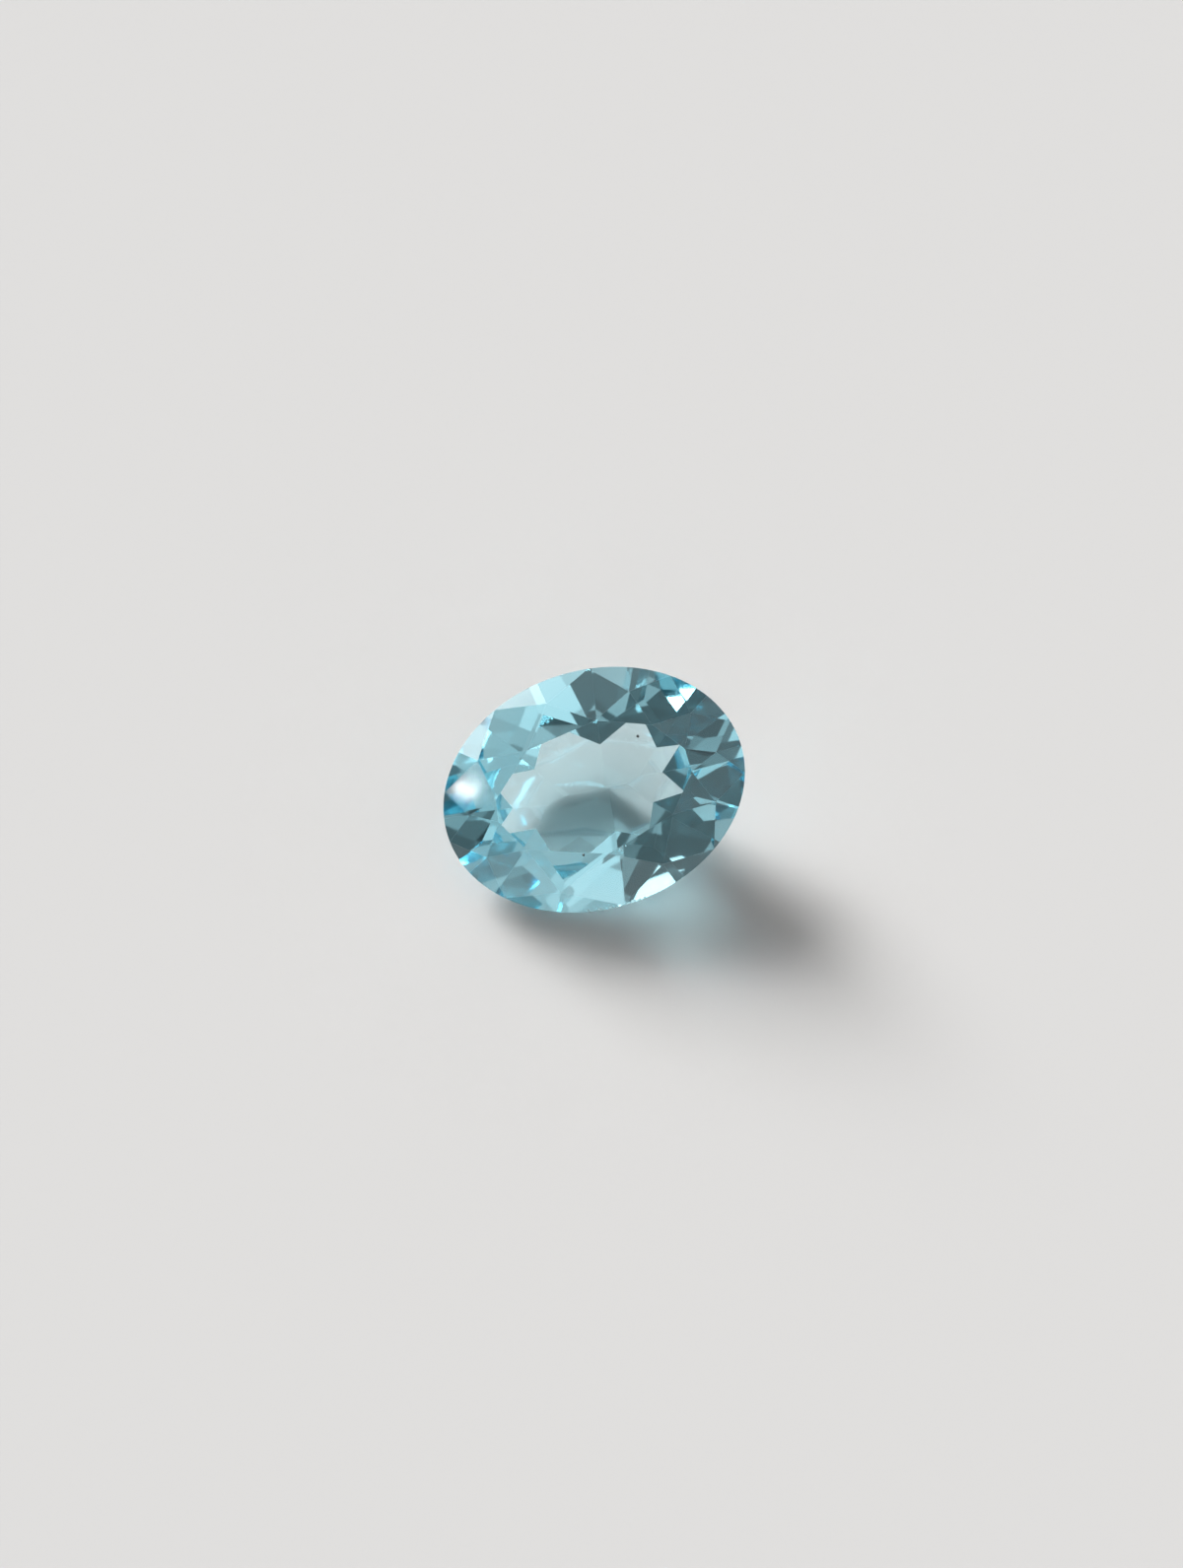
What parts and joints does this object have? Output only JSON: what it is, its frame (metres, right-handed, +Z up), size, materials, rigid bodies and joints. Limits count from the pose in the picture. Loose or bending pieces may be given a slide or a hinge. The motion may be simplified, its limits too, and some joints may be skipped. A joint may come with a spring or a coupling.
{
  "type": "oval cut topaz gemstone",
  "caption": "Loose oval gemstone of clear sky-blue topaz, faceted as a brilliant, lying on one facet of its pointed underside.",
  "frame": {"origin": "On the ground, at the middle of the bounding box. The stone lies at rest on one main facet of its pavilion.", "axes": "+Z is up. The girdle's long axis lies over X, its high end towards +X. The table faces up and towards -Y."},
  "size_m": [0.0088, 0.006, 0.0044],
  "materials": {
    "topaz": "polished"
  },
  "bodies": {
    "root": {"topaz": "topaz"}
  },
  "joints": []
}
